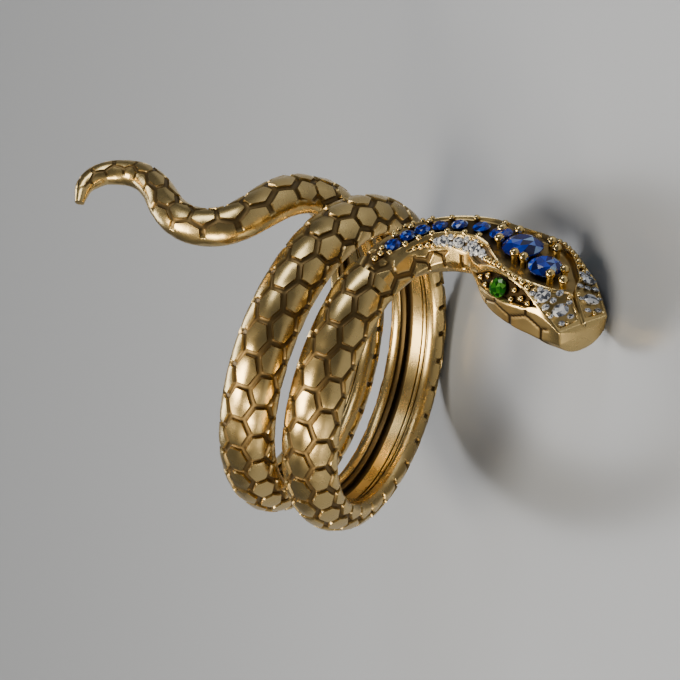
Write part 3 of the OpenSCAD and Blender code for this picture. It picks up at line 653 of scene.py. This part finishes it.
def head_place(k, first, second, share, side):
    """A point on the head at a share of the straight way between two of its
    lines, the way out of the skin there, square to that way, and the way back
    along the body."""
    f = body_frame(k)
    s = rows(HEAD, k)
    a = np.array([s[first] * HEAD_W / 2, -s[first + 1] * HEAD_H])
    b = np.array([s[second] * HEAD_W / 2, -s[second + 1] * HEAD_H])
    p = a + share * (b - a)
    n = unit(np.array([a[1] - b[1], b[0] - a[0]]))
    out = side * n[0] * f[1] + n[1] * f[2]
    back = unit(crest(k + SLOPE_STEP) - crest(k - SLOPE_STEP))
    return at(f, side * p[0], p[1]), out, unit(back - (back @ out) * out)


def crest_place(k, across, rise):
    """A point over the head at a distance across and up from the crest."""
    f = body_frame(k)
    return at(f, across, rise), f[2], unit(crest(k + SLOPE_STEP) - crest(k - SLOPE_STEP))


def eye_place(side):
    """The eye's seat, a little out from the skin, with its stone tipped towards
    the nose and the top of the head."""
    place, out, back_way = head_place(EYE_AT, OUTER, LIP, EYE_SHARE, side)
    tipped = unit(out + EYE_TIP_UP * body_frame(EYE_AT)[2] - EYE_TIP_AHEAD * back_way)
    return place + EYE_STAND * out, tipped, unit(back_way - (back_way @ tipped) * tipped)


def copies(shape_points, shape_faces, places, sizes):
    """One mesh of copies of a small shape: each is scaled, turned so that its Z
    points out of the skin and its X to the nose, and moved to its place."""
    place, out, back = (np.array([p[i] for p in places]) for i in range(3))
    turn = np.stack([-back, np.cross(out, -back), out], -1)
    points = np.einsum("nij,pj->npi", turn, shape_points) * np.asarray(sizes)[:, None, None]
    points += place[:, None]
    n = len(shape_points)
    faces = [[i * n + v for v in face] for i in range(len(places)) for face in shape_faces]
    return points.reshape(-1, 3), faces


def add_copies(name, shape, places, sizes):
    """A bright gold piece of copies of one rounded shape."""
    points, faces = copies(*shape, places, sizes)
    add_mesh(name, points, faces, [("patina_and_shade", "POINT", np.zeros(len(points)))], BEAD_GOLD,
             sharp=80)


def turned_shape(profile, around):
    """A profile of radius and height turned round Z; its ends are closed to points."""
    a = np.arange(around) * 2 * np.pi / around
    r, z = np.array(profile).T
    points = np.stack([r[:, None] * np.cos(a), r[:, None] * np.sin(a),
                       np.broadcast_to(z[:, None], (len(r), around))], -1).reshape(-1, 3)
    ends = [[0, 0, z[0]], [0, 0, z[-1]]]
    n = len(r) * around
    faces = tube_faces(len(r), around).tolist()
    faces += fan_faces(np.arange(around), n, True).tolist()
    faces += fan_faces(n - around + np.arange(around), n + 1, False).tolist()
    return np.vstack([points, ends]), faces


# A cut stone in diameters: radius and height of its rings, and its tip's height
TABLE, STARS, PAVILION, TIP_HEIGHT = (0.28, 0.16), (0.38, 0.108), (0.2, -0.27), -0.43
GIRDLE_TOP, GIRDLE_LOW = (0.5, 0), (0.5, -0.04)


def cut_stone():
    """A round brilliant of diameter 1 with its girdle at height 0: an eight
    sided table split towards its middle, stars, kites, a sixteen sided girdle,
    and a pointed pavilion."""
    def circle(count, first, radius, height):
        """Points of a level circle, the first one at an angle."""
        a = np.radians(first + np.arange(count) * 360 / count)
        return np.stack([radius * np.cos(a), radius * np.sin(a), 0 * a + height], -1)
    points = np.vstack([circle(8, 0, *TABLE), circle(8, 22.5, *STARS), circle(16, 0, *GIRDLE_TOP),
                        circle(16, 0, *GIRDLE_LOW), circle(8, 22.5, *PAVILION),
                        [[0, 0, TABLE[1]], [0, 0, TIP_HEIGHT]]])
    # the first point of table, stars, girdle, its lower edge and pavilion, and
    # the table's middle and the tip
    t, m, g, b, p, centre, tip = 0, 8, 16, 32, 48, 56, 57
    faces = []
    for i in range(8):
        j, h = (i + 1) % 8, (i - 1) % 8
        faces += [[t + i, t + j, centre], [t + i, m + i, t + j], [t + i, m + h, g + 2 * i, m + i],
                  [m + i, g + 2 * i, g + 2 * i + 1], [m + i, g + 2 * i + 1, g + (2 * i + 2) % 16],
                  [b + 2 * i, p + i, b + 2 * i + 1], [b + 2 * i + 1, p + i, b + (2 * i + 2) % 16],
                  [b + 2 * j, p + i, tip, p + j]]
    faces += [[g + i, b + i, b + (i + 1) % 16, g + (i + 1) % 16] for i in range(16)]
    # the shape is convex, so a face whose normal looks inwards is turned over
    core = np.array([0, 0, -0.1])
    outward = [np.cross(points[f[1]] - points[f[0]], points[f[2]] - points[f[0]])
               @ (points[f].mean(0) - core) > 0 for f in faces]
    return points, [f if good else f[::-1] for f, good in zip(faces, outward)]


# Materials: noise scales per metre, and the bump's height in metres
GOLD_CLOUD, GOLD_GRAIN, GOLD_BUMPS, GEM_CLOUD, FLOOR_CLOUD = 260, 900, 1500, 1800, 3
GOLD_BUMP_D = 0.00001
CLOUD_TONE, CLOUDY = 0.90, 0.8              # of the gold's and the gems' darker clouds
GRAIN_ROUGHNESS, PATINA_AND_SHADE_ROUGHER = (-0.03, 0.04), 0.22       # added to a gold's own
BLACK_FROM, BLACK = (0.94, 0.99), 0.22      # patina and painted shade that blacken, and what tone they leave


def new_material(name, **inputs):
    """A new material whose main shader has these values."""
    made = bpy.data.materials.new(name)
    made.use_nodes = True
    shader = made.node_tree.nodes["Principled BSDF"]
    for label, value in inputs.items():
        shader.inputs[label.replace("_", " ")].default_value = value
    return made, made.node_tree.nodes, made.node_tree.links, shader


def noise(nodes, links, scale, detail):
    """Noise over the object's own coordinates."""
    place = nodes.new("ShaderNodeTexCoord")
    texture = nodes.new("ShaderNodeTexNoise")
    texture.inputs["Scale"].default_value = scale
    texture.inputs["Detail"].default_value = detail
    links.new(place.outputs["Object"], texture.inputs["Vector"])
    return texture.outputs["Fac"]


def ramp(nodes, links, source, stops):
    """A colour ramp of (place, colour) stops."""
    node = nodes.new("ShaderNodeValToRGB")
    points = node.color_ramp.elements
    while len(points) < len(stops):
        points.new(0.5)
    for point, (place, colour) in zip(points, stops):
        point.position = place
        point.color = (*colour, 1)
    links.new(source, node.inputs["Fac"])
    return node.outputs["Color"]


def attribute(nodes, name):
    """A value that the mesh carries."""
    node = nodes.new("ShaderNodeAttribute")
    node.attribute_name = name
    return node.outputs["Fac"]


def scaled(nodes, links, source, start, end, low, high):
    """A value carried from start..end to low..high."""
    node = nodes.new("ShaderNodeMapRange")
    for label, value in (("From Min", start), ("From Max", end), ("To Min", low), ("To Max", high)):
        node.inputs[label].default_value = value
    links.new(source, node.inputs["Value"])
    return node.outputs["Result"]


def mixed(nodes, links, share, first, second, blend="MIX"):
    """Two colours mixed by a share, which is a socket or a fixed value."""
    node = nodes.new("ShaderNodeMix")
    node.data_type = "RGBA"
    node.blend_type = blend
    for socket, value in ((0, share), (6, first), (7, second)):
        if isinstance(value, bpy.types.NodeSocket):
            links.new(value, node.inputs[socket])
        else:
            node.inputs[socket].default_value = value
    return node.outputs[2]


def gold_material(name, bright, brown, rough, wear):
    """Old gold: cloudy tone, fine casting grain, and brown where the mesh carries
    patina and painted shade, almost black where that value is highest."""
    made, nodes, links, shader = new_material(name, Metallic=1.0, IOR=1.5)
    cloud = noise(nodes, links, GOLD_CLOUD, 3)
    tone = ramp(nodes, links, cloud, [(0.30, [c * CLOUD_TONE for c in bright]), (0.70, bright)])
    dark = attribute(nodes, "patina_and_shade")
    black = [c * BLACK for c in brown]
    old = ramp(nodes, links, dark, [(BLACK_FROM[0], brown), (BLACK_FROM[1], black)])
    links.new(mixed(nodes, links, dark, tone, old), shader.inputs["Base Color"])
    grain = noise(nodes, links, GOLD_GRAIN, 3)
    less, more = GRAIN_ROUGHNESS
    base = scaled(nodes, links, grain, 0.3, 0.7, rough + less, rough + more)
    add = nodes.new("ShaderNodeMath")
    add.operation = "MULTIPLY_ADD"
    links.new(dark, add.inputs[0])
    add.inputs[1].default_value = PATINA_AND_SHADE_ROUGHER
    links.new(base, add.inputs[2])
    links.new(add.outputs[0], shader.inputs["Roughness"])
    bump = nodes.new("ShaderNodeBump")
    bump.inputs["Strength"].default_value = wear
    bump.inputs["Distance"].default_value = GOLD_BUMP_D
    links.new(noise(nodes, links, GOLD_BUMPS, 3), bump.inputs["Height"])
    links.new(bump.outputs["Normal"], shader.inputs["Normal"])
    return made


def gem_material(name, stops, ior, rough, coat):
    """A cut stone: each facet has a tone of its own, from deep to bright, the
    bright tones painted reflections and glints over the stone's own colour,
    under a hard polish, with faint clouding inside."""
    made, nodes, links, shader = new_material(
        name, IOR=ior, Roughness=rough, Coat_Weight=coat, Coat_Roughness=0.02, Coat_IOR=1.6,
        Specular_IOR_Level=0.3)
    tone = ramp(nodes, links, attribute(nodes, "facet_tone_and_glint"), stops)
    cloud = ramp(nodes, links, noise(nodes, links, GEM_CLOUD, 2),
                 [(0.35, (CLOUDY,) * 3), (0.65, (1.0,) * 3)])
    links.new(mixed(nodes, links, 1.0, tone, cloud, "MULTIPLY"), shader.inputs["Base Color"])
    return made


GOLD = gold_material("old_gold", (0.80, 0.59, 0.25), (0.105, 0.066, 0.028), 0.26, 0.25)
BEAD_GOLD = gold_material("bead_gold", (0.92, 0.68, 0.28), (0.30, 0.19, 0.07), 0.14, 0.1)
# Facet tones: the sapphire's and emerald's deep stops are their own colour and their bright stops
# painted glints; the diamond's dark and white facets are all painted reflection
SAPPHIRE = gem_material("sapphire", [(0.0, (0.001, 0.003, 0.05)), (0.5, (0.001, 0.010, 0.22)),
                                     (0.8, (0.006, 0.07, 0.80)), (1.0, (0.45, 0.70, 1.0))],
                        1.77, 0.04, 0.2)
DIAMOND = gem_material("diamond", [(0.0, (0.02, 0.025, 0.04)), (0.4, (0.18, 0.20, 0.26)),
                                   (0.6, (0.72, 0.77, 0.85)), (1.0, (1.0, 1.0, 1.0))],
                       2.2, 0.03, 0.6)
EMERALD = gem_material("emerald", [(0.0, (0.001, 0.02, 0.001)), (0.5, (0.008, 0.08, 0.004)),
                                   (0.85, (0.03, 0.18, 0.01)), (1.0, (0.12, 0.36, 0.05))],
                       1.58, 0.08, 0.15)


# The photograph's view of the ring, in degrees and millimetres round the finger
VIEW_AZ, VIEW_EL = 29.073, 32.453
VIEW_DISTANCE, VIEW_RIGHT, VIEW_UP = 39.14 * CREST_R, 0.334 * CREST_R, -0.2084 * CREST_R
FOCAL_PIXELS, FRAME_PIXELS, SENSOR = 6616.5, 680, 36.0


def add_camera():
    """The camera, turned and moved with the ring as it is laid down."""
    az, el = np.radians([VIEW_AZ, VIEW_EL])
    right = np.array([np.cos(az), np.sin(az), 0])
    away = np.array([np.cos(el) * np.sin(az), -np.cos(el) * np.cos(az), np.sin(el)])
    above = np.cross(away, right)
    eye_point = laid_down(away * VIEW_DISTANCE - right * VIEW_RIGHT - above * VIEW_UP)
    camera = bpy.data.objects.new("camera", bpy.data.cameras.new("camera"))
    camera.data.lens = SENSOR * FOCAL_PIXELS / FRAME_PIXELS
    camera.data.sensor_width = SENSOR
    camera.data.clip_start = 0.01
    bpy.context.scene.collection.objects.link(camera)
    turn = np.stack([LAY @ right, LAY @ above, LAY @ away], -1)
    camera.matrix_world = Matrix([[*turn[i], eye_point[i]] for i in range(3)] + [[0, 0, 0, 1]])
    bpy.context.scene.camera = camera


# Beads: plates along the ridges, beside the first sapphire and between the rest
RIDGE_BEADS = [(SAPPHIRE_AT[i] + SAPPHIRE_AT[i + 1]) / 2 for i in range(6)] + [-2.35]
BEAD_IN, BEAD_LEAST_ACROSS, BEAD_DROP = 0.13, 0.16, 0.08
BEAD_STEP, BEAD_SIDES = 20, 10
SMALLER_FROM, SMALLER = -2.5, 0.9
# In the stone bands and round the eyes on both sides: plate, share of the way
# between the band's two lines, and radius
BAND_BEAD_DROP, EYE_BEAD_DROP = 0.04, 0.16
BAND_BEADS = [(-3.16, 0.70, 0.17), (-3.46, 0.74, 0.21), (-3.80, 0.74, 0.22), (-4.06, 0.86, 0.19),
              (-4.08, 0.38, 0.16), (-4.46, 0.92, 0.13), (-4.80, 0.22, 0.13), (-4.82, 0.93, 0.13),
              (-5.15, 0.20, 0.13), (-5.15, 0.93, 0.13), (-5.50, 0.20, 0.13), (-5.50, 0.92, 0.13),
              (-5.83, 0.20, 0.13), (-5.85, 0.90, 0.13), (-6.15, 0.20, 0.13), (-6.50, 0.20, 0.13),
              (-6.80, 0.22, 0.14), (-7.50, 0.58, 0.23), (-7.78, 0.58, 0.24), (-8.04, 0.54, 0.23),
              (-8.30, 0.50, 0.21), (-8.54, 0.46, 0.19), (-8.77, 0.44, 0.19), (-9.00, 0.44, 0.22),
              (-9.25, 0.46, 0.24), (-9.46, 0.24, 0.18), (-9.48, 0.68, 0.22), (-9.68, 0.50, 0.16),
              (-9.98, 0.12, 0.16), (-9.98, 0.90, 0.16), (-10.40, 0.10, 0.16), (-10.42, 0.92, 0.16),
              (-10.80, 0.50, 0.15)]
EYE_BEADS = [(-7.44, 0.58, 0.21), (-7.93, 0.38, 0.21), (-7.91, 0.76, 0.2), (-9.16, 0.34, 0.2),
             (-9.16, 0.74, 0.21), (-9.45, 0.52, 0.22), (-9.72, 0.56, 0.19)]

# Single beads where the field starts, and a row on the far ridge
START_BEADS, START_BEAD_R, START_BEAD_RISE = [-1.86, -2.12], 0.22, 0.06
FAR_BEADS, FAR_BEAD_R, FAR_BEAD_RISE = [-3.0, -3.18, -3.4, -3.66, -3.95, -4.24], 0.165, 0.06
FAR_BEAD_SHARE = 0.1


def make_beads():
    """Half-sunk balls along the ridges, in the stone bands and round the eyes,
    two where the field starts and a row on the far ridge. Each ball is a half
    circle turned round."""
    places, sizes = [], []

    def add(place, rise, radius):
        """A bead of a radius at a place, moved along the way out of the skin."""
        point, out, back_way = place
        places.append((point + out * rise, out, back_way))
        sizes.append(radius)

    for side in (-1, 1):
        for k in RIDGE_BEADS:
            across = max(rows(HEAD, k)[RIDGE] * HEAD_W / 2 - BEAD_IN, BEAD_LEAST_ACROSS)
            share = SMALLER if k > SMALLER_FROM else 1
            add(crest_place(k, side * across, 0), -BEAD_DROP, BEAD_D / 2 * share)
        for k, share, radius in BAND_BEADS:
            add(head_place(k, RIDGE, OUTER, share, side), -BAND_BEAD_DROP, radius)
        for k, share, radius in EYE_BEADS:
            add(head_place(k, OUTER, LIP, share, side), -EYE_BEAD_DROP, radius)
    for k in START_BEADS:
        add(crest_place(k, 0, 0), START_BEAD_RISE, START_BEAD_R)
    for k in FAR_BEADS:
        add(head_place(k, RIDGE, OUTER, FAR_BEAD_SHARE, -1), FAR_BEAD_RISE, FAR_BEAD_R)
    a = np.radians(np.arange(-80, 81, BEAD_STEP))
    shape = turned_shape(np.stack([np.cos(a), np.sin(a)], -1), BEAD_SIDES)
    add_copies("beads", shape, places, sizes)


# Prongs: plate and distance across of each ball
PRONGS = [(-8.16, 1.10), (-8.45, 0.84), (-7.19, 0.85), (-8.16, -1.68), (-8.53, -1.53), (-7.12, -0.79),
          (-6.67, -0.18), (-9.47, 0.39), (-9.90, 0.07), (-9.50, -0.66)]
PRONG_RISE, PRONG_NECK, PRONG_ROOT = 0.17, -0.45, -0.9     # heights of ball, neck and root
PRONG_SIDES, PRONG_RINGS, PRONG_TOP = 14, 9, 0.12           # the last in radians


def make_prongs():
    """Round posts with balls on top, rooted in the floor between the large
    stones: one profile turned round the way up."""
    ball, post = PRONG_BALL_D / 2, PRONG_D / 2
    ring = np.linspace(np.pi - np.arcsin(post / ball), PRONG_TOP, PRONG_RINGS)
    profile = [(post, PRONG_ROOT), (post, PRONG_NECK)]
    profile += [(ball * np.sin(t), ball * np.cos(t)) for t in ring]
    places = [crest_place(k, across, PRONG_RISE) for k, across in PRONGS]
    add_copies("prongs", turned_shape(profile, PRONG_SIDES), places, np.ones(len(places)))


# Small white stones with no seat of their own: plate, share and diameter
SMALL_DIAMONDS = [(-4.28, 0.60, 0.50), (-4.97, 0.34, 0.40), (-4.97, 0.82, 0.40), (-5.66, 0.32, 0.42),
                  (-5.66, 0.82, 0.40), (-6.31, 0.30, 0.42), (-6.31, 0.80, 0.42), (-6.95, 0.50, 0.62),
                  (-7.24, 0.56, 0.48), (-9.76, 0.26, 0.42), (-9.72, 0.76, 0.42), (-10.20, 0.18, 0.52),
                  (-10.24, 0.52, 0.46), (-10.25, 0.84, 0.54), (-10.00, 0.86, 0.40),
                  (-10.48, 0.14, 0.40), (-10.50, 0.90, 0.36), (-10.72, 0.28, 0.46),
                  (-10.76, 0.70, 0.46)]


TONE_STEP, TONE_SPREAD = 12.9898, 43758.5453    # scatter the facets' tones, their painted reflections and glints


def make_stones(name, places, sizes, finish, replaced):
    """Cut stones in their seats; every facet carries a tone of its own, the
    fraction that is left of a large sine of its number, which sets its painted
    reflection."""
    points, faces = copies(*cut_stone(), places, sizes)
    wave = np.sin(np.arange(len(faces)) * TONE_STEP + len(name))
    tone = np.modf(np.abs(wave * TONE_SPREAD))[0]
    add_mesh(name, points, faces, [("facet_tone_and_glint", "FACE", tone)], finish, replaced, smooth=False)


def make_diamonds(name, table, replaced):
    """Small white stones in the stone bands of both sides, from plate, share
    and diameter."""
    places = [head_place(k, RIDGE, OUTER, share, side) for k, share, _ in table for side in (1, -1)]
    make_stones(name, places, [d for *_, d in table for _ in (1, -1)], DIAMOND, replaced)


add_camera()
make_body(GOLD)
make_head(GOLD)
make_beads()
make_prongs()
make_stones("sapphires", [crest_place(k, 0, -GIRDLE_DROP) for k in SAPPHIRE_AT], SAPPHIRE_D,
            SAPPHIRE, [f"sapphire_{i + 1}" for i in range(len(SAPPHIRE_AT))])
make_diamonds("diamonds", DIAMONDS, [f"diamond_{side}_{i + 1}" for i in range(len(DIAMONDS))
                                     for side in ("near", "far")])
make_diamonds("small_diamonds", SMALL_DIAMONDS, [])
make_stones("eyes", [eye_place(side) for side in (1, -1)], [EYE_D] * 2, EMERALD,
            ["eye_near", "eye_far"])


# Floor and lights, in metres and watts
FLOOR_REACH = 2
FLOOR_TONES = [(0.3, (0.225, 0.245, 0.285)), (0.7, (0.245, 0.265, 0.305))]
LIGHT_AIM = (0, 0, 0.01)
WARM, WARMER, WHITE = (1.0, 0.88, 0.68), (1.0, 0.87, 0.66), (1, 1, 1)
# Name, place, size, strength and colour
LIGHTS = [("top_box", (-0.08, 0.02, 0.34), (0.18, 0.15), 1.35, WARM),
          ("left_box", (-0.30, -0.16, 0.16), (0.11, 0.18), 0.95, WARMER),
          ("right_box", (0.30, -0.10, 0.18), (0.12, 0.24), 0.4, WHITE),
          ("back_box", (0.05, 0.34, 0.22), (0.30, 0.12), 0.6, WHITE)]
WORLD_COLOUR, WORLD_STRENGTH = (0.42, 0.43, 0.45, 1), 0.2


def add_floor():
    """A large pale floor with a faint cloud in its tone."""
    finish, nodes, links, shader = new_material("floor", Roughness=0.28, IOR=1.45)
    tone = ramp(nodes, links, noise(nodes, links, FLOOR_CLOUD, 2), FLOOR_TONES)
    links.new(tone, shader.inputs["Base Color"])
    mesh = bpy.data.meshes.new("floor")
    r = FLOOR_REACH
    mesh.from_pydata([(-r, -r, 0), (r, -r, 0), (r, r, 0), (-r, r, 0)], [], [(0, 1, 2, 3)])
    mesh.materials.append(finish)
    floor = bpy.data.objects.new("floor", mesh)
    bpy.context.scene.collection.objects.link(floor)


def area_light(name, place, size, watts, colour):
    """A soft box at a place, facing the ring."""
    data = bpy.data.lights.new(name, "AREA")
    data.shape, data.size, data.size_y = "RECTANGLE", *size
    data.energy, data.color = watts, colour
    lamp = bpy.data.objects.new(name, data)
    bpy.context.scene.collection.objects.link(lamp)
    z = unit(np.array(place) - np.array(LIGHT_AIM))
    x = unit(np.cross([0, 0.001, 1], z))
    y = np.cross(z, x)
    lamp.matrix_world = Matrix([[x[i], y[i], z[i], place[i]] for i in range(3)] + [[0, 0, 0, 1]])


def add_world():
    """A dim grey room round it all."""
    world = bpy.data.worlds.new("studio")
    bpy.context.scene.world = world
    world.use_nodes = True
    background = world.node_tree.nodes["Background"]
    background.inputs["Color"].default_value = WORLD_COLOUR
    background.inputs["Strength"].default_value = WORLD_STRENGTH


add_floor()
for light in LIGHTS:
    area_light(*light)
add_world()
